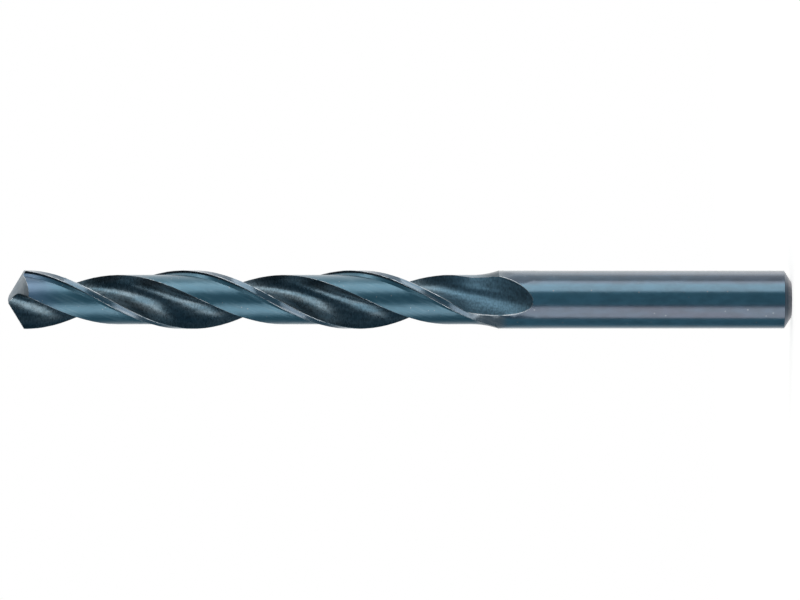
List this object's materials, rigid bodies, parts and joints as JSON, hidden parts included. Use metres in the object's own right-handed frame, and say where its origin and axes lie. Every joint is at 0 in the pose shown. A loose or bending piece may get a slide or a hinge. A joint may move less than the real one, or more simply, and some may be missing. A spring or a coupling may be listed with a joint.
{
  "type": "twist drill bit",
  "caption": "Straight-shank jobber twist drill with right-hand spiral flutes, narrow margins, a cone-relieved point with chisel edge, and a bevelled plain shank, for drilling metal.",
  "frame": {"origin": "centre of the flat end of the shank, which the drill stands on", "axes": "+Z along the drill's axis from the shank end to the point; +X along the cutting lips"},
  "size_m": [0.01, 0.01, 0.133],
  "materials": {
    "oxide_steel": "steam-oxidised blue-black high-speed steel, ground satin under the oxide"
  },
  "bodies": {
    "root": {"drill_bit": "oxide_steel"}
  },
  "joints": []
}
